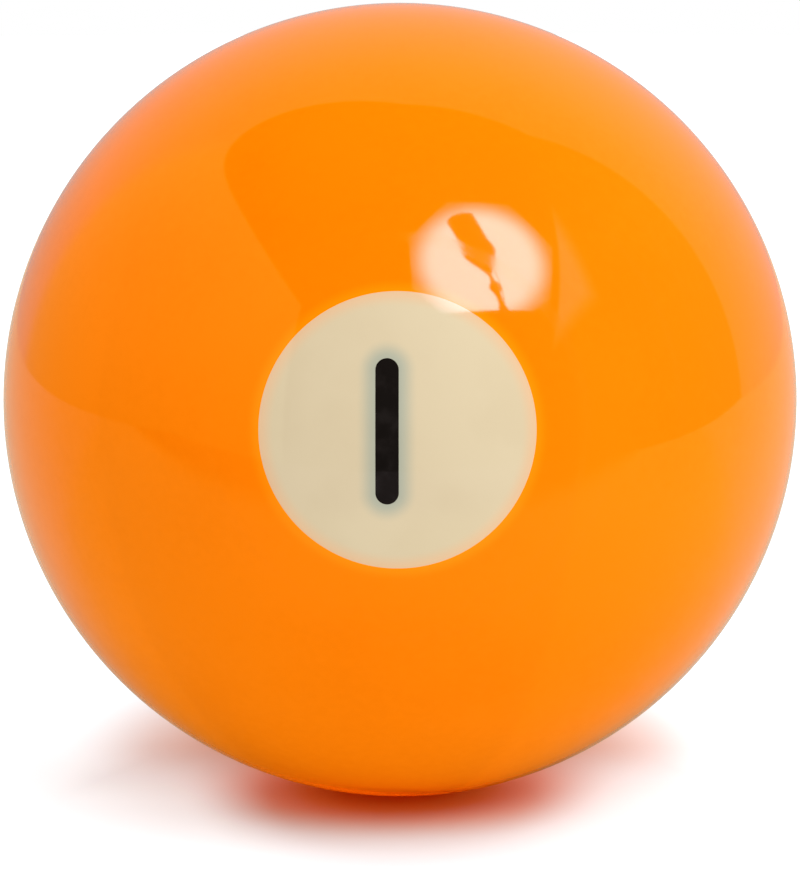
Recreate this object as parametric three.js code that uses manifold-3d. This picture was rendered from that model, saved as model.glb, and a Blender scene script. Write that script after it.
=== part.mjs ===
// A numbered pool ball. The ball is one solid casting of coloured resin. A pale disc is cast in
// flush at each end of one diameter, and each disc carries a plain upright stroke, the figure one,
// cast through its face in black resin.
// Millimetres, +Z up. The origin is the centre of the ball and Y is the number axis: the front
// disc faces -Y and the rear disc faces +Y.
import * as THREE from "three";
import { mergeVertices } from "three/addons/utils/BufferGeometryUtils.js";
import Module from "manifold-3d";

const wasm = await Module();
wasm.setup();

// Driving dimensions
const ballDiameter = 57.15; // 2 1/4 inches, the standard size
const discDiameter = 19; // across the disc at the surface of the ball, 3/4 inch
const discDepth = 7; // from the surface of the ball to the flat back of the disc, on the number axis
const discDraft = 3; // degrees that the side of the disc leans in towards its back
const strokeHeight = 10; // over both round ends
const strokeWidth = 1.6;
const strokeDepth = 4; // from the surface of the ball to the flat back of the stroke, on the number axis
const strokeOffset = 0.7; // from the number axis to the middle of the stroke, towards the reader's left
const seamGap = 0.3; // clearance all round a piece in the seat that it fills

// Fineness of the round faces
const facetDegrees = 5; // turn from one facet to the next, around the number axis and along it
const strokeEndDivisions = 6; // half the number of facets around each round end of a stroke

const ballRadius = ballDiameter / 2;
const toRadians = THREE.MathUtils.degToRad;
const around = Math.round(360 / facetDegrees);

// Half the number of facets along an arc, because a path gives an arc two for each division.
const divisionsAlong = (angle) => Math.ceil(angle / toRadians(facetDegrees) / 2);

// The section of a disc or of the seat that holds it, on one side of the number axis.
// grow is how much larger it is than the disc, all round.
function plugSection(grow) {
  const rimRadius = discDiameter / 2 + grow;
  const rimAngle = Math.asin(rimRadius / ballRadius); // from the number axis
  const rimHeight = ballRadius * Math.cos(rimAngle);
  const backHeight = ballRadius - discDepth - grow;
  const backRadius = rimRadius - (rimHeight - backHeight) * Math.tan(toRadians(discDraft));
  return { rimAngle, backHeight, backRadius };
}

// The whole ball with both seats open: from the floor of the rear seat, over the outside, and down
// into the front one.
function ballGeometry() {
  const { rimAngle, backHeight, backRadius } = plugSection(seamGap);
  const outerAngle = Math.PI - 2 * rimAngle;
  const section = new THREE.Path();
  section.moveTo(0, -backHeight);
  section.lineTo(backRadius, -backHeight);
  section.absarc(0, 0, ballRadius, -outerAngle / 2, outerAngle / 2, false);
  section.lineTo(backRadius, backHeight);
  section.lineTo(0, backHeight);
  return new THREE.LatheGeometry(section.getPoints(divisionsAlong(outerAngle)), around);
}

// A disc before the stroke is cut into it, with its face towards +Y.
function plugGeometry() {
  const { rimAngle, backHeight, backRadius } = plugSection(0);
  const section = new THREE.Path();
  section.moveTo(0, backHeight);
  section.lineTo(backRadius, backHeight);
  section.absarc(0, 0, ballRadius, Math.PI / 2 - rimAngle, Math.PI / 2, false);
  return new THREE.LatheGeometry(section.getPoints(divisionsAlong(rimAngle)), around);
}

// A bar with round ends that stands through the face of a disc: the stroke itself, or with grow the
// slot that holds it.
function strokeGeometry(grow) {
  const endRadius = strokeWidth / 2 + grow;
  const endCentre = (strokeHeight - strokeWidth) / 2;
  const outline = new THREE.Shape();
  outline.moveTo(endRadius, -endCentre);
  outline.absarc(0, endCentre, endRadius, 0, Math.PI, false);
  outline.absarc(0, -endCentre, endRadius, Math.PI, 2 * Math.PI, false);
  const depth = strokeDepth + grow + seamGap; // stands out of the face by a gap's width
  const bar = new THREE.ExtrudeGeometry(outline, {
    depth,
    bevelEnabled: false,
    curveSegments: strokeEndDivisions,
  });
  bar.rotateX(-Math.PI / 2);
  return bar.translate(strokeOffset, ballRadius - strokeDepth - grow, 0);
}

// A geometry as a solid that can be cut.
function solid(geometry) {
  const bare = geometry.clone();
  bare.deleteAttribute("normal");
  bare.deleteAttribute("uv");
  const merged = mergeVertices(bare);
  return new wasm.Manifold(
    new wasm.Mesh({
      numProp: 3,
      vertProperties: new Float32Array(merged.attributes.position.array),
      triVerts: new Uint32Array(merged.index.array),
    }),
  );
}

// A cut solid as a geometry again.
function geometryOf(cut) {
  const { vertProperties, triVerts } = cut.getMesh();
  const geometry = new THREE.BufferGeometry();
  geometry.setAttribute("position", new THREE.BufferAttribute(vertProperties, 3));
  geometry.setIndex(new THREE.BufferAttribute(triVerts, 1));
  geometry.computeVertexNormals();
  return geometry;
}

const polishedResin = (name, color) =>
  new THREE.MeshStandardMaterial({ name, color, roughness: 0.08, metalness: 0 });
const orangeResin = polishedResin("orange resin", 0xf98108);
const ivoryResin = polishedResin("ivory resin", 0xe2d3ae);
const blackResin = polishedResin("black resin", 0x16120f);

function piece(name, geometry, material) {
  const mesh = new THREE.Mesh(geometry, material);
  mesh.name = name;
  return mesh;
}

const plug = solid(plugGeometry());
const discFace = geometryOf(plug.subtract(solid(strokeGeometry(seamGap))));
const numeralBar = geometryOf(plug.intersect(solid(strokeGeometry(0))));

// A disc and its numeral, facing +Y. Both ends of the ball carry the same pair.
function numberedDisc(end) {
  const group = new THREE.Group();
  group.add(piece(`${end}_disc`, discFace, ivoryResin));
  group.add(piece(`${end}_numeral`, numeralBar, blackResin));
  return group;
}

const ball = new THREE.Group();
ball.name = "pool_ball";
ball.add(piece("ball_body", ballGeometry(), orangeResin));

const rearDisc = numberedDisc("rear");
const frontDisc = numberedDisc("front");
frontDisc.rotation.z = Math.PI; // half a turn about the upright keeps the numeral upright
ball.add(frontDisc, rearDisc);

export default ball;
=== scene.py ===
from math import atan2, cos, pi, radians, sin, sqrt, tan

import bmesh
import bpy
from mathutils import Matrix, Vector


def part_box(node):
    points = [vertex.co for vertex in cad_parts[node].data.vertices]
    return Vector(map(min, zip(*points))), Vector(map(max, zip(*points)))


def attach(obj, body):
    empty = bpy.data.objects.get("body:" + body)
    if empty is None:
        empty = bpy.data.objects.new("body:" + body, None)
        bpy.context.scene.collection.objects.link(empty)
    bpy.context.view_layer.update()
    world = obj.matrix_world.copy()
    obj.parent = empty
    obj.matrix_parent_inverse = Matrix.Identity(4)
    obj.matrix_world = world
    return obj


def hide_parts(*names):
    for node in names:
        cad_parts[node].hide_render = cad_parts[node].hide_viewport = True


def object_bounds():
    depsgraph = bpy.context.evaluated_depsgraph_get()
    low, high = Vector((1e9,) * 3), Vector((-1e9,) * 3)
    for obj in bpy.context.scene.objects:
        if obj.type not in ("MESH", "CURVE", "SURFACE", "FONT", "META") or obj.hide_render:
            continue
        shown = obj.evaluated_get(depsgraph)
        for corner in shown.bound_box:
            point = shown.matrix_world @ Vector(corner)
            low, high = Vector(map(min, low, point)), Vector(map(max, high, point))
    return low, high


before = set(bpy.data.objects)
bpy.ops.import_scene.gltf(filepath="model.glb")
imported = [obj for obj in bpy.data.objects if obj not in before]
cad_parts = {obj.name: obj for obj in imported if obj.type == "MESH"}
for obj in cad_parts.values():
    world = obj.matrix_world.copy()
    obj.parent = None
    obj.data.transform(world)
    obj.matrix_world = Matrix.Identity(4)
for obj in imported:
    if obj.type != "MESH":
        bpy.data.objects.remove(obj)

scene = bpy.context.scene
mm = 0.001
snap = 0.0001 * mm          # closer together than this is the same place

cadLow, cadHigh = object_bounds()
ballRadius = (cadHigh.z - cadLow.z) / 2
discLow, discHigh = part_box("front_disc")
strokeLow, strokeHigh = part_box("front_numeral")
discRadius = (discHigh.x - discLow.x) / 2
strokeMiddle = (strokeLow.x + strokeHigh.x) / 2     # left of the middle, as the front is read
print("frame loaded, ball", round(2 * ballRadius / mm, 2), "mm")


def link(name, bm, material):
    # a finished mesh as an object at the origin
    mesh = bpy.data.meshes.new(name)
    bm.to_mesh(mesh)
    bm.free()
    mesh.materials.append(material)
    thing = bpy.data.objects.new(name, mesh)
    scene.collection.objects.link(thing)
    return thing


def polish(thing):
    # every face on the sphere shades as one true sphere, so no seam shows in a reflection
    mesh = thing.data
    mesh.shade_smooth()
    normals = [None] * len(mesh.loops)
    for face in mesh.polygons:
        points = [mesh.vertices[i].co for i in face.vertices]
        outside = all(abs(p.length - ballRadius) < 10 * snap for p in points)
        for corner, point in zip(face.loop_indices, points):
            normals[corner] = point.normalized() if outside else face.normal.copy()
    mesh.normals_split_custom_set(normals)


def node(tree, kind, inputs=None, **settings):
    made = tree.nodes.new(kind)
    for key, value in settings.items():
        setattr(made, key, value)
    for key, value in (inputs or {}).items():
        socket = made.inputs[key]
        if isinstance(value, bpy.types.NodeSocket):
            tree.links.new(value, socket)
        else:
            socket.default_value = value
    return made


def calc(tree, operation, *values):
    return node(tree, "ShaderNodeMath", dict(enumerate(values)), operation=operation).outputs[0]


def ramp(tree, value, start, end, low=0.0, high=1.0):
    # low up to start, high from end on
    sockets = {"Value": value, "From Min": start, "From Max": end, "To Min": low, "To Max": high}
    return node(tree, "ShaderNodeMapRange", sockets, interpolation_type="SMOOTHSTEP").outputs[0]


def noise(tree, place, fineness, detail):
    return node(tree, "ShaderNodeTexNoise", {"Vector": place, "Scale": fineness, "Detail": detail}).outputs[0]


def length(tree, vector):
    return node(tree, "ShaderNodeVectorMath", {0: vector}, operation="LENGTH").outputs["Value"]


def blend(tree, share, first, second, mode="MIX"):
    mixer = node(tree, "ShaderNodeMix", data_type="RGBA", blend_type=mode)
    for socket, value in zip((mixer.inputs[0], mixer.inputs[6], mixer.inputs[7]), (share, first, second)):
        if isinstance(value, bpy.types.NodeSocket):
            tree.links.new(value, socket)
        else:
            socket.default_value = value
    return mixer.outputs[2]


# camera, at the height and distance of a table-top portrait
camera = {
    "distance": 500 * mm,       # from the middle of the ball
    "azimuth": 0.37,            # degrees to the right of the number axis
    "elevation": 4.4,           # degrees above it
    "lens": 287.16,
    "sensor": 36,
    "aimBelow": 2.52 * mm,      # the ball stands a little above the middle of the picture
}


def placeCamera():
    turn, rise = radians(camera["azimuth"]), radians(camera["elevation"])
    away = Vector((sin(turn) * cos(rise), -cos(turn) * cos(rise), sin(rise)))
    lens = bpy.data.cameras.new("portrait camera")
    lens.lens = camera["lens"]
    lens.sensor_width = camera["sensor"]
    lens.clip_start = 0.01
    eye = bpy.data.objects.new("portrait camera", lens)
    eye.location = away * camera["distance"]
    aim = Vector((0, 0, -camera["aimBelow"])) - eye.location
    eye.rotation_euler = aim.to_track_quat("-Z", "Y").to_euler()
    scene.collection.objects.link(eye)
    scene.camera = eye


placeCamera()
print("camera placed")


resin = {
    "ior": 1.6,
    "smooth": 0.035,            # roughness of the polish
    "dull": 0.055,              # and where handling has dulled it
    "handled": 45.0,            # fineness of those places
    "handledCut": (0.35, 0.7),
    "lineTurns": ((0.3, 0.2, 0.9), (1.1, 0.7, 2.2)),    # hairlines from play and wiping run two ways
    "lineFineness": (1.0, 0.7),
    "lineDrawn": (18, 2600, 18),            # the noise that they come from is drawn out lengthwise
    "linePeaks": (0.70, 0.76),              # and only its peaks show
    "lineRoughness": 0.05,
    "lineDepth": 0.4e-6,
    "lineStrength": 0.5,
}


def hairlines(tree, place, turn, fineness):
    drawn = node(tree, "ShaderNodeMapping", {"Vector": place, "Rotation": turn, "Scale": resin["lineDrawn"]})
    peaks = node(tree, "ShaderNodeTexNoise", {"Vector": drawn.outputs[0], "Scale": fineness, "Detail": 1.0})
    return ramp(tree, peaks.outputs[0], *resin["linePeaks"])


def polishedResin(name, colourOf):
    material = bpy.data.materials.new(name)
    material.use_nodes = True
    tree = material.node_tree
    shader = tree.nodes["Principled BSDF"]
    shader.inputs["IOR"].default_value = resin["ior"]
    place = node(tree, "ShaderNodeTexCoord").outputs["Object"]
    tree.links.new(colourOf(tree, place), shader.inputs["Base Color"])
    handled = noise(tree, place, resin["handled"], 4.0)
    ways = zip(resin["lineTurns"], resin["lineFineness"])
    lines = calc(tree, "MAXIMUM", *(hairlines(tree, place, turn, fineness) for turn, fineness in ways))
    gloss = ramp(tree, handled, *resin["handledCut"], resin["smooth"], resin["dull"])
    rough = calc(tree, "ADD", gloss, calc(tree, "MULTIPLY", lines, resin["lineRoughness"]))
    tree.links.new(rough, shader.inputs["Roughness"])
    relief = {"Height": lines, "Distance": resin["lineDepth"], "Strength": resin["lineStrength"]}
    bump = node(tree, "ShaderNodeBump", relief, invert=True)
    tree.links.new(bump.outputs[0], shader.inputs["Normal"])
    return material


# distance from the number axis, which both seams lie round
def fromAxis(tree, place):
    parts = node(tree, "ShaderNodeSeparateXYZ", {0: place})
    flat = node(tree, "ShaderNodeCombineXYZ", {"X": parts.outputs["X"], "Z": parts.outputs["Z"]})
    return length(tree, flat.outputs[0])


# distance from the edge of the stroke, on either face of the ball
def fromStroke(tree, place):
    parts = node(tree, "ShaderNodeSeparateXYZ", {0: place})
    side = calc(tree, "MULTIPLY", parts.outputs["X"], calc(tree, "SIGN", parts.outputs["Y"]))
    half = (strokeHigh.z - strokeLow.z) / 2
    endRadius = (strokeHigh.x - strokeLow.x) / 2
    across = calc(tree, "ADD", side, strokeMiddle)
    beyond = calc(tree, "SUBTRACT", calc(tree, "ABSOLUTE", parts.outputs["Z"]), half - endRadius)
    beyond = calc(tree, "MAXIMUM", beyond, 0.0)
    flat = node(tree, "ShaderNodeCombineXYZ", {"X": across, "Y": beyond})
    return calc(tree, "SUBTRACT", length(tree, flat.outputs[0]), endRadius)


orange = {
    "colour": (0.91, 0.213, 0.0105, 1),
    "deeper": (0.885, 0.203, 0.0085, 1),    # where the pigment lies denser
    "cloud": 60.0,              # fineness of the mottling, and of the grain in it
    "cloudCut": (0.4, 0.65),    # what part of the noise shows as mottling
    "grain": 1500.0,
    "grainShare": 0.3,
    "nearDisc": (0.95, 0.270, 0.020, 1),    # light comes up through the disc's edge
    "glowWidth": 0.9 * mm,
    "glow": 0.8,
}


def orangeColour(tree, place):
    cloud = calc(tree, "MULTIPLY", noise(tree, place, orange["cloud"], 3.0), 1 - orange["grainShare"])
    grain = calc(tree, "MULTIPLY", noise(tree, place, orange["grain"], 2.0), orange["grainShare"])
    mottled = calc(tree, "ADD", cloud, grain)
    base = blend(tree, ramp(tree, mottled, *orange["cloudCut"]), orange["colour"], orange["deeper"])
    reach = discRadius + orange["glowWidth"]
    glow = ramp(tree, fromAxis(tree, place), discRadius, reach, orange["glow"], 0.0)
    return blend(tree, glow, base, orange["nearDisc"])


ivory = {
    "colour": (0.603, 0.500, 0.338, 1),
    "paler": (0.622, 0.520, 0.355, 1),
    "cloud": 140.0,             # fineness of the mottling
    "cloudCut": (0.35, 0.65),
    "rim": (0.685, 0.462, 0.286, 1),        # painted glow: the orange's light showing through the disc's edge
    "rimWidth": 1.1 * mm,
    "shade": (0.66, 0.80, 0.93, 1),         # what the black stroke takes out of the light round it
    "shadeWidth": 1.35 * mm,
}


def ivoryColour(tree, place):
    cloud = noise(tree, place, ivory["cloud"], 4.0)
    base = blend(tree, ramp(tree, cloud, *ivory["cloudCut"]), ivory["colour"], ivory["paler"])
    # painted glow round the disc's edge, as if orange light came through it
    rimGlow = ramp(tree, fromAxis(tree, place), discRadius - ivory["rimWidth"], discRadius)
    base = blend(tree, rimGlow, base, ivory["rim"])
    shade = ramp(tree, fromStroke(tree, place), 0.0, ivory["shadeWidth"], 1.0, 0.0)
    return blend(tree, shade, base, ivory["shade"], "MULTIPLY")


black = {
    "colour": (0.0395, 0.0355, 0.035, 1),
    "greyer": (0.047, 0.043, 0.043, 1),
    "cloud": 700.0,             # fineness of the mottling
    "cloudCut": (0.4, 0.7),
}


def blackColour(tree, place):
    cloud = noise(tree, place, black["cloud"], 3.0)
    return blend(tree, ramp(tree, cloud, *black["cloudCut"]), black["colour"], black["greyer"])


bodyResin = polishedResin("orange resin", orangeColour)
discResin = polishedResin("ivory resin", ivoryColour)
strokeResin = polishedResin("black resin", blackColour)
print("resins mixed")


# a disc and its stroke are cast face up along +Z, with the figure upright along +Y
casting = {
    "around": 192,              # facets round each seam, the same for body, disc and stroke
    "along": 144,               # facets of the body from one seat to the other
    "rings": 16,                # facets of a disc from its stroke to its rim
    "lean": radians(3),         # the disc's side narrows towards its back
}

discDepth = discHigh.y - discLow.y
strokeDepth = strokeHigh.y - strokeLow.y
rimHeight = sqrt(ballRadius ** 2 - discRadius ** 2)
backHeight = ballRadius - discDepth
backRadius = discRadius - (rimHeight - backHeight) * tan(casting["lean"])


def lift(vertices):
    # up on to the sphere
    for v in vertices:
        v.co.z = sqrt(ballRadius ** 2 - v.co.x ** 2 - v.co.y ** 2)


def castBody():
    bm = bmesh.new()
    rim = bm.verts.new((discRadius, rimHeight, 0))
    span = pi - 2 * atan2(discRadius, rimHeight)
    bmesh.ops.spin(bm, geom=[rim], cent=(0, 0, 0), axis=(0, 0, -1), dvec=(0, 0, 0), angle=span,
                   steps=casting["along"], use_duplicate=False)
    for end in (1, -1):
        lip = min(bm.verts, key=lambda v: (v.co - Vector((discRadius, end * rimHeight, 0))).length)
        corner = bm.verts.new((backRadius, end * backHeight, 0))
        middle = bm.verts.new((0, end * backHeight, 0))
        bm.edges.new((lip, corner))
        bm.edges.new((corner, middle))
    bmesh.ops.spin(bm, geom=bm.verts[:] + bm.edges[:], cent=(0, 0, 0), axis=(0, 1, 0), dvec=(0, 0, 0),
                   angle=2 * pi, steps=casting["around"], use_merge=True, use_duplicate=False)
    bmesh.ops.remove_doubles(bm, verts=bm.verts, dist=snap)
    bmesh.ops.recalc_face_normals(bm, faces=bm.faces)
    return link("body_casting", bm, bodyResin)


def strokeOutline(bm):
    # a circle cut across its middle, its halves pulled apart and the long sides divided
    count = casting["around"] // 2
    radius = (strokeHigh.x - strokeLow.x) / 2
    pull = (strokeHigh.z - strokeLow.z) / 2 - radius
    ring = bmesh.ops.create_circle(bm, segments=count, radius=radius)["verts"]
    bmesh.ops.rotate(bm, verts=ring, cent=(0, 0, 0), matrix=Matrix.Rotation(pi / count, 3, "Z"))
    for v in ring:
        v.co.y += pull if v.co.y > 0 else -pull
        v.co.x += strokeMiddle
    sides = [e for e in bm.edges if e.calc_length() > pull]
    bmesh.ops.subdivide_edges(bm, edges=sides, cuts=count // 2)
    return bm.verts[:], bm.edges[:]


def sink(bm, edges, height, scale=1.0):
    # walls down from a closed edge to a flat floor
    grown = bmesh.ops.extrude_edge_only(bm, edges=edges)["geom"]
    for v in (g for g in grown if isinstance(g, bmesh.types.BMVert)):
        v.co = (v.co.x * scale, v.co.y * scale, height)
    bottom = [g for g in grown if isinstance(g, bmesh.types.BMEdge)]
    bottom = [e for e in bottom if all(abs(v.co.z - height) < snap for v in e.verts)]
    bmesh.ops.contextual_create(bm, geom=bottom)


def stand(bm, rear):
    # face up to face front, or half a turn more to face the rear
    matrix = Matrix.Rotation(pi if rear else 0, 3, "Z") @ Matrix.Rotation(pi / 2, 3, "X")
    bmesh.ops.rotate(bm, verts=bm.verts, cent=(0, 0, 0), matrix=matrix)


def castDisc(name, rear):
    bm = bmesh.new()
    inner = strokeOutline(bm)[1]
    ring = bmesh.ops.create_circle(bm, segments=casting["around"], radius=discRadius)["verts"]
    outer = list({e for v in ring for e in v.link_edges})
    bridged = bmesh.ops.bridge_loops(bm, edges=inner + outer)["edges"]
    bmesh.ops.subdivide_edges(bm, edges=bridged, cuts=casting["rings"], use_grid_fill=True)
    lift(bm.verts)
    sink(bm, inner, ballRadius - strokeDepth)
    sink(bm, outer, backHeight, backRadius / discRadius)
    bmesh.ops.recalc_face_normals(bm, faces=bm.faces)
    stand(bm, rear)
    return link(name, bm, discResin)


def castStroke(name, rear):
    bm = bmesh.new()
    ring, edges = strokeOutline(bm)
    bmesh.ops.contextual_create(bm, geom=edges)
    for height in sorted({round(v.co.y, 7) for v in ring})[1:-1]:
        bmesh.ops.bisect_plane(bm, geom=bm.verts[:] + bm.edges[:] + bm.faces[:], dist=snap,
                               plane_co=(0, height, 0), plane_no=(0, 1, 0))
    bmesh.ops.bisect_plane(bm, geom=bm.verts[:] + bm.edges[:] + bm.faces[:], dist=snap,
                           plane_co=(strokeMiddle, 0, 0), plane_no=(1, 0, 0))
    lift(bm.verts)
    sink(bm, [e for e in bm.edges if e.is_boundary], ballRadius - strokeDepth)
    bmesh.ops.recalc_face_normals(bm, faces=bm.faces)
    stand(bm, rear)
    return link(name, bm, strokeResin)


def putIn(thing, cadNode):
    polish(thing)
    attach(thing, "root")
    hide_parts(cadNode)


putIn(castBody(), "ball_body")
for end in ("front", "rear"):
    rear = end == "rear"
    putIn(castDisc(end + "_disc_casting", rear), end + "_disc")
    putIn(castStroke(end + "_numeral_casting", rear), end + "_numeral")
print("ball cast")


# the ball lies rolled back a little on the table, so in its own frame the table and the room are tipped
studio = {
    "roll": radians(5.6),
    "paper": 1.25,              # the white backdrop as it is seen
    "fill": 1.95,               # soft light from all round
    "fillRight": 0.35,
    "fillBack": 0.9,
    "fillUp": -0.36,
    "key": 13.0,                # watts of the softbox
}

level = Matrix.Rotation(studio["roll"], 4, "X")      # from the room's frame to the ball's


def towards(azimuth, elevation):
    # a direction in the room, in degrees right of the front and above the level
    turn, rise = radians(azimuth), radians(elevation)
    return level @ Vector((sin(turn) * cos(rise), -cos(turn) * cos(rise), sin(rise)))


table = {
    "radius": 450 * mm,
    "facets": 96,
    "front": 186 * mm,          # from under the ball to the front edge
    "corner": 212 * mm,         # and to the edge that cuts the corner on the right
    "cornerTurn": radians(50),
    # its tone as it is looked at, away from the ball and close round it, where a painted shadow and a painted
    # reflection of the ball's colour lie
    "far": (0.81, 0.90, 0.95, 1),
    "farReach": 17.5 * mm,
    "near": (0.74, 0.45, 0.37, 1),
    "nearReach": 6 * mm,
    "contact": (0.48, 0.95, 1.3, 1),        # painted shadow, its tone deeper still right under the ball
    "contactReach": 12 * mm,
    # the oval shadow that lies towards the back
    "behind": (0.77, 0.50, 0.41, 1),
    "behindStart": 14 * mm,
    "behindMiddle": 16 * mm,
    "behindWidth": 24 * mm,     # to either side of its middle
    "behindLength": 30 * mm,
    "behindFade": (0.5, 1.1),   # it fades from half way out to a little past its edge
    # the paper is lit brighter some way from the ball, to the sides sooner than to the front
    "glow": 0.34,
    "glowFrom": 18 * mm,
    "glowTo": 32 * mm,
    "sideways": 2.0,
    "glowBack": (-6 * mm, 10 * mm),         # it ends behind the ball
    "glowAside": (18 * mm, 26 * mm),        # except well out to the sides
    # its tone as the polish mirrors it, beside the ball, behind it and towards the front edge
    "mirrored": (0.42, 0.42, 0.29, 1),
    "mirroredBack": (0.44, 0.42, 0.34, 1),
    "backFull": 25 * mm,
    "mirroredFront": (0.16, 0.155, 0.15, 1),
    "dimFrom": 62 * mm,
    "dimTo": 108 * mm,
    "lighting": 1.32,           # the light that it throws up under the ball
    "bounce": (1.9, 1.0, 0.5, 1),           # and the warm tone of it right under the ball
    "under": 0.4,               # how much of the light under the ball comes back on to the table
}


# what the table looks like, to the eye and in the polish, by the way from where the ball touches it; to the
# eye it carries painted shadows and a painted reflection of the ball
def tableTone(tree, seenDirectly, offset, back, close):
    # painted shadow and painted reflection of the ball's colour close round it
    seen = blend(tree, close, table["far"], table["near"])
    contactFrom, contactTo = table["nearReach"] / 2, table["contactReach"]
    # painted contact shadow right under the ball
    contactShadow = ramp(tree, length(tree, offset), contactFrom, contactTo, 1.0, 0.0)
    seen = blend(tree, contactShadow, seen, table["contact"], "MULTIPLY")

    middle = (0, table["behindMiddle"], 0)
    size = (table["behindWidth"], table["behindLength"], table["behindLength"])
    oval = node(tree, "ShaderNodeVectorMath", {0: offset, 1: middle}, operation="SUBTRACT").outputs[0]
    oval = node(tree, "ShaderNodeVectorMath", {0: oval, 1: size}, operation="DIVIDE").outputs[0]
    behind = ramp(tree, length(tree, oval), *table["behindFade"], 1.0, 0.0)
    behind = calc(tree, "MULTIPLY", ramp(tree, back, 0.0, table["behindStart"]), behind)
    seen = blend(tree, behind, seen, table["behind"], "MULTIPLY")

    dim = ramp(tree, back, -table["dimTo"], -table["dimFrom"], 1.0, 0.0)
    mirrored = blend(tree, dim, table["mirrored"], table["mirroredFront"])
    mirrored = blend(tree, ramp(tree, back, 0.0, table["backFull"]), mirrored, table["mirroredBack"])
    return blend(tree, seenDirectly, mirrored, seen)


def tableGlow(tree, offset, aside, back):
    stretch = (table["sideways"], 1, 1)
    wide = node(tree, "ShaderNodeVectorMath", {0: offset, 1: stretch}, operation="MULTIPLY").outputs[0]
    glow = ramp(tree, length(tree, wide), table["glowFrom"], table["glowTo"], 0.0, table["glow"])
    beyond = ramp(tree, calc(tree, "ABSOLUTE", aside), *table["glowAside"])
    forward = ramp(tree, back, *table["glowBack"], 1.0, 0.0)
    return calc(tree, "MULTIPLY", glow, calc(tree, "MAXIMUM", forward, beyond))


def tableMaterial():
    material = bpy.data.materials.new("white table")
    material.use_nodes = True
    tree = material.node_tree
    tree.nodes.remove(tree.nodes["Principled BSDF"])
    path = node(tree, "ShaderNodeLightPath")
    seenDirectly = path.outputs["Is Camera Ray"]
    place = node(tree, "ShaderNodeTexCoord").outputs["Object"]
    contact = level @ Vector((0, 0, -ballRadius))
    offset = node(tree, "ShaderNodeVectorMath", {0: place, 1: contact}, operation="SUBTRACT").outputs[0]
    aside, back = node(tree, "ShaderNodeSeparateXYZ", {0: offset}).outputs[:2]
    close = ramp(tree, length(tree, offset), table["nearReach"], table["farReach"], 1.0, 0.0)
    tone = tableTone(tree, seenDirectly, offset, back, close)
    matt = node(tree, "ShaderNodeBsdfDiffuse", {"Color": tone}).outputs[0]

    white = (1, 1, 1, 1)
    bounce = blend(tree, close, white, table["bounce"])
    bounce = blend(tree, seenDirectly, bounce, white)
    lit = node(tree, "ShaderNodeEmission", {"Color": bounce, "Strength": table["lighting"]}).outputs[0]
    share = ramp(tree, path.outputs["Diffuse Depth"], 1.0, 2.0, 1.0, table["under"])
    share = calc(tree, "MULTIPLY", path.outputs["Is Diffuse Ray"], share)
    share = calc(tree, "MULTIPLY_ADD", seenDirectly, tableGlow(tree, offset, aside, back), share)
    mixed = node(tree, "ShaderNodeMixShader", {0: share, 1: matt, 2: lit})
    tree.links.new(mixed.outputs[0], tree.nodes["Material Output"].inputs["Surface"])
    return material


def buildTable():
    bm = bmesh.new()
    bmesh.ops.create_circle(bm, segments=table["facets"], radius=table["radius"], cap_ends=True)
    turn = table["cornerTurn"]
    for reach, way in ((table["front"], Vector((0, -1, 0))),
                       (table["corner"], Vector((sin(turn), -cos(turn), 0)))):
        bmesh.ops.bisect_plane(bm, geom=bm.verts[:] + bm.edges[:] + bm.faces[:], plane_co=way * reach,
                               plane_no=way, clear_outer=True)
    bmesh.ops.translate(bm, verts=bm.verts, vec=(0, 0, -ballRadius))
    bm.transform(level)
    link("table", bm, tableMaterial())


room = {
    "back": 0.66,               # the white screens as the polish mirrors them
    "left": 0.64,
    "leftUp": 0.42,             # the left one is brighter higher up
    "tint": (0.8, 0.8, 0.8, 1),
    "leftTint": (0.8, 0.812, 0.56, 1),      # and warmer
    "dark": 0.13,               # the open side of the room
    "darkRight": 0.22,          # and its right half
    "curtain": 1.0,             # a pale curtain beside the softbox
    "roundness": 0.45,          # of the bend from one screen to the other
    "bend": 0.1,                # how softly their tones meet there
    "edge": 0.01,               # softness of their outer edges
    "curtainSharp": (-0.04, -0.025),        # where the curtain's near edge begins and is full
    "curtainSoft": (-0.01, 0.10),           # and its other edges
    # each edge is a plane through the ball, given by the way that leads inside
    "backFoot": Vector((0, 1, -0.245)),
    "backFootRight": Vector((0.31, 1, -0.2485)),
    "backFront": Vector((-0.488, 1, 0)),
    "leftFoot": Vector((-1, 0, -0.8)),
    "leftFront": Vector((-0.839, 0.545, 0)),
    "curtainNear": Vector((0.691, 0.551, -0.467)),
    "curtainFar": Vector((-0.44, -0.872, 0.217)),
    "curtainFoot": Vector((-0.527, -0.15, 0.837)),
}


def inside(tree, way, edge):
    # how far the way looked is on the inner side of an edge
    inward = room[edge].normalized()
    return node(tree, "ShaderNodeVectorMath", {0: way, 1: inward}, operation="DOT_PRODUCT").outputs["Value"]


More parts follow.
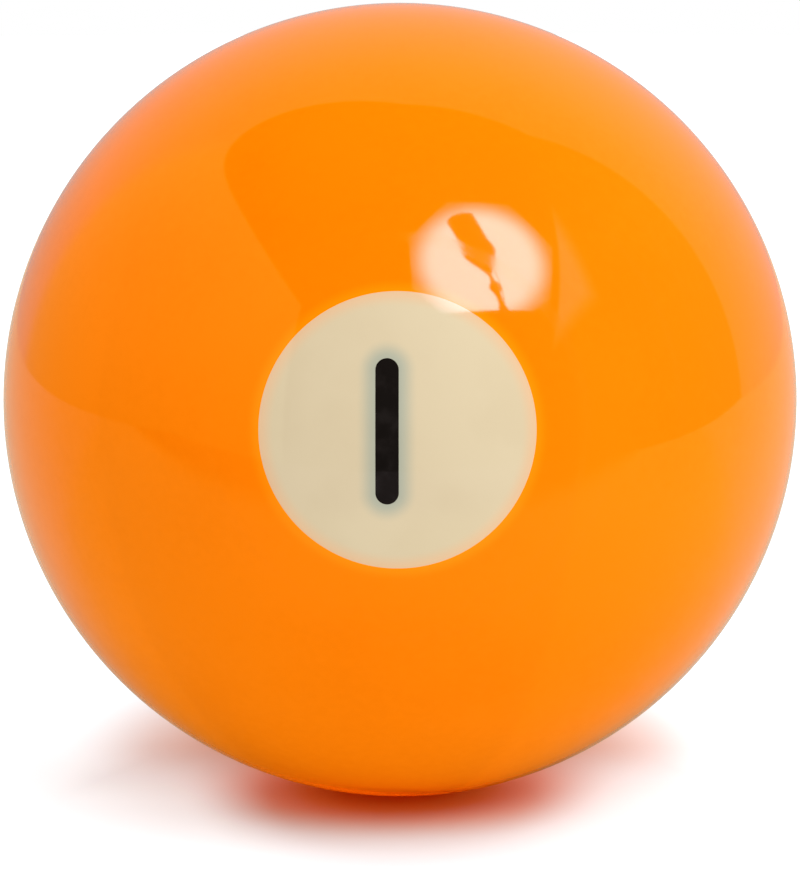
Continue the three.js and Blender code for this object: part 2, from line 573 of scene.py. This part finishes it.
def buildWorld():
    world = bpy.data.worlds.new("studio")
    scene.world = world
    world.use_nodes = True
    world.cycles.sampling_method = "NONE"
    tree = world.node_tree
    tree.nodes.clear()
    way = node(tree, "ShaderNodeTexCoord").outputs["Generated"]
    way = node(tree, "ShaderNodeVectorRotate", {"Vector": way, "Angle": -studio["roll"]},
               rotation_type="X_AXIS").outputs[0]
    x, y, z = node(tree, "ShaderNodeSeparateXYZ", {0: way}).outputs

    fill = calc(tree, "MULTIPLY_ADD", x, studio["fillRight"], studio["fill"])
    fill = calc(tree, "MULTIPLY_ADD", y, studio["fillBack"], fill)
    fill = calc(tree, "MULTIPLY_ADD", z, studio["fillUp"], fill)

    # what the polish mirrors: white screens behind and on the left, and an open room
    back = calc(tree, "MINIMUM", inside(tree, way, "backFoot"), inside(tree, way, "backFootRight"))
    back = calc(tree, "MINIMUM", back, inside(tree, way, "backFront"))
    left = calc(tree, "MINIMUM", inside(tree, way, "leftFoot"), inside(tree, way, "leftFront"))
    screens = calc(tree, "SMOOTH_MAX", back, left, room["roundness"])
    onLeft = ramp(tree, calc(tree, "SUBTRACT", left, back), -room["bend"], room["bend"])
    leftTone = calc(tree, "MULTIPLY_ADD", z, room["leftUp"], room["left"])
    screenTone = node(tree, "ShaderNodeMix", {0: onLeft, 2: room["back"], 3: leftTone}).outputs[0]
    darkTone = calc(tree, "MULTIPLY_ADD", calc(tree, "MAXIMUM", x, 0.0), room["darkRight"], room["dark"])
    onScreen = ramp(tree, screens, -room["edge"], room["edge"])
    mirrored = node(tree, "ShaderNodeMix", {0: onScreen, 2: darkTone, 3: screenTone}).outputs[0]

    curtain = calc(tree, "MINIMUM", inside(tree, way, "curtainFar"), inside(tree, way, "curtainFoot"))
    sharp = ramp(tree, inside(tree, way, "curtainNear"), *room["curtainSharp"])
    curtain = calc(tree, "MULTIPLY", ramp(tree, curtain, *room["curtainSoft"]), sharp)
    mirrored = calc(tree, "MULTIPLY_ADD", curtain, room["curtain"], mirrored)

    path = node(tree, "ShaderNodeLightPath")
    seenDirectly, inPolish = path.outputs["Is Camera Ray"], path.outputs["Is Glossy Ray"]
    light = node(tree, "ShaderNodeMix", {0: inPolish, 2: fill, 3: mirrored}).outputs[0]
    light = node(tree, "ShaderNodeMix", {0: seenDirectly, 2: light, 3: studio["paper"]}).outputs[0]
    tint = blend(tree, calc(tree, "MULTIPLY", inPolish, onLeft), room["tint"], room["leftTint"])
    sky = node(tree, "ShaderNodeBackground", {"Color": tint, "Strength": light})
    output = node(tree, "ShaderNodeOutputWorld")
    tree.links.new(sky.outputs[0], output.inputs["Surface"])


softbox = {
    "azimuth": 33,
    "elevation": 46.7,
    "distance": 1.6,
    "lean": radians(-4.3),
    "radius": 0.61,             # to its corners
    "corners": 8,
    "seenHeight": 0.92,         # it hangs tipped, so it looks lower than it is wide
    "hiddenBelow": -0.40,       # its lowest edge is out of sight
    "hiddenLean": radians(13),
    "cloth": (0.99, 0.97, 1.12, 1),
    "core": 8.4,                # brightness of the middle of the cloth
    "border": 0.9,              # and of its border
    "fade": (0.59, 0.96),       # where it falls off, in shares of the radius
}


def hung(distance):
    # a place on the way to the softbox: +X to the right as the ball sees it, +Z back to the ball
    away = towards(softbox["azimuth"], softbox["elevation"])
    right = away.cross(level @ Vector((0, 0, 1))).normalized()
    axes = Matrix((right, right.cross(away), -away)).transposed()
    return Matrix.Translation(away * distance) @ axes.to_4x4() @ Matrix.Rotation(softbox["lean"], 4, "Z")


def clothMaterial():
    material = bpy.data.materials.new("softbox cloth")
    material.use_nodes = True
    tree = material.node_tree
    tree.nodes.remove(tree.nodes["Principled BSDF"])
    across = node(tree, "ShaderNodeUVMap", uv_map="cloth").outputs[0]
    strength = ramp(tree, length(tree, across), *softbox["fade"], softbox["core"], softbox["border"])
    light = node(tree, "ShaderNodeEmission", {"Color": softbox["cloth"], "Strength": strength}).outputs[0]
    tree.links.new(light, tree.nodes["Material Output"].inputs["Surface"])
    return material


def onlyMirrored(thing):
    thing.visible_camera = False
    thing.visible_diffuse = False
    thing.visible_shadow = False


def buildSoftbox():
    bm = bmesh.new()
    bmesh.ops.create_circle(bm, segments=softbox["corners"], radius=softbox["radius"], cap_ends=True)
    bmesh.ops.scale(bm, verts=bm.verts, vec=(1, softbox["seenHeight"], 1))
    edge = Vector((sin(softbox["hiddenLean"]), -cos(softbox["hiddenLean"]), 0))
    bmesh.ops.bisect_plane(bm, geom=bm.verts[:] + bm.edges[:] + bm.faces[:],
                           plane_co=(0, softbox["hiddenBelow"], 0), plane_no=edge, clear_outer=True)
    across = bm.loops.layers.uv.new("cloth")
    for face in bm.faces:
        for loop in face.loops:
            at = loop.vert.co
            loop[across].uv = (at.x / softbox["radius"], at.y / softbox["radius"] / softbox["seenHeight"])
    bm.transform(hung(softbox["distance"]))
    onlyMirrored(link("softbox", bm, clothMaterial()))

    lamp = bpy.data.lights.new("key", "AREA")
    lamp.shape = "DISK"
    lamp.size = 2 * softbox["radius"]
    lamp.energy = studio["key"]
    key = bpy.data.objects.new("key", lamp)
    key.matrix_world = hung(softbox["distance"]) @ Matrix.Rotation(pi, 4, "X")
    key.visible_camera = False
    key.visible_glossy = False
    scene.collection.objects.link(key)


# the lamp head on its stand, dark against the cloth: radii, and heights from the middle of the cloth
flash = {
    "distance": 1.5,            # it stands between the softbox and the ball
    "around": 32,               # facets of the lamp, of the cable and along the cable
    "cableAround": 8,
    "cableAlong": 12,
    "aside": -0.013,
    "top": 0.385,
    "shoulder": 0.365,
    "head": 0.100,
    "headFoot": 0.15,
    "collar": 0.117,
    "collarTop": 0.11,
    "collarFoot": 0.06,
    "narrowing": 0.7,           # of the head at its top and of the collar below its foot
    "stem": 0.014,
    "stemTop": -0.10,
    "stemFoot": -0.15,
    "knob": 0.048,
    "knobAt": -0.19,
    "post": 0.02,
    "postTop": -0.26,
    "postFoot": -0.32,
    "foot": 0.042,
    "footTop": -0.39,
    "footEnd": -0.46,
    "cable": 0.0035,
    "cableStart": Vector((-0.04, -0.03, 0)),
    "cableMiddle": Vector((0.80, -0.10, 0)),    # of its bend, from where it starts
    "cableTurn": radians(26),
    "dark": (0.12, 0.12, 0.12, 1),
    "roughness": 0.8,
}


def flashOutline():
    narrowing, head, collar = flash["narrowing"], flash["head"], flash["collar"]
    yield 0, flash["top"]
    yield narrowing * head, flash["top"]
    yield head, flash["shoulder"]
    yield head, flash["headFoot"]
    yield collar, flash["collarTop"]
    yield collar, flash["collarFoot"]
    yield narrowing * collar, 0.0
    yield flash["stem"], flash["stemTop"]
    yield flash["stem"], flash["stemFoot"]
    yield flash["knob"], flash["knobAt"]
    yield flash["post"], flash["postTop"]
    yield flash["post"], flash["postFoot"]
    yield flash["foot"], flash["footTop"]
    yield flash["foot"], flash["footEnd"]


def buildFlash():
    material = bpy.data.materials.new("flash case")
    material.use_nodes = True
    shader = material.node_tree.nodes["Principled BSDF"]
    shader.inputs["Base Color"].default_value = flash["dark"]
    shader.inputs["Roughness"].default_value = flash["roughness"]
    bm = bmesh.new()
    chain = [bm.verts.new((radius, height, 0)) for radius, height in flashOutline()]
    for above, below in zip(chain, chain[1:]):
        bm.edges.new((above, below))
    bmesh.ops.spin(bm, geom=bm.verts[:] + bm.edges[:], cent=(0, 0, 0), axis=(0, 1, 0), dvec=(0, 0, 0),
                   angle=2 * pi, steps=flash["around"], use_merge=True, use_duplicate=False)
    start = bmesh.ops.create_circle(bm, segments=flash["cableAround"], radius=flash["cable"])["verts"]
    turned = Matrix.Translation(flash["cableStart"]) @ Matrix.Rotation(pi / 2, 4, "X")
    bmesh.ops.transform(bm, verts=start, matrix=turned)
    ring = list({e for v in start for e in v.link_edges})
    middle = flash["cableStart"] + flash["cableMiddle"]
    bmesh.ops.spin(bm, geom=start + ring, cent=middle, axis=(0, 0, 1), dvec=(0, 0, 0),
                   angle=flash["cableTurn"], steps=flash["cableAlong"], use_duplicate=False)
    bmesh.ops.remove_doubles(bm, verts=bm.verts, dist=10 * snap)
    bmesh.ops.recalc_face_normals(bm, faces=bm.faces)
    bmesh.ops.translate(bm, verts=bm.verts, vec=(flash["aside"], 0, 0))
    bm.transform(hung(flash["distance"]))
    onlyMirrored(link("flash", bm, material))


buildTable()
buildWorld()
buildSoftbox()
buildFlash()

deepShades = {0.02: 0.0006, 0.035: 0.0031, 0.055: 0.0119, 0.08: 0.0366}    # they are shown darker still
view = scene.view_settings
view.view_transform = "Standard"
view.use_curve_mapping = True
for shade, shown in deepShades.items():
    view.curve_mapping.curves[3].points.new(shade, shown)
view.curve_mapping.update()
print("studio built")
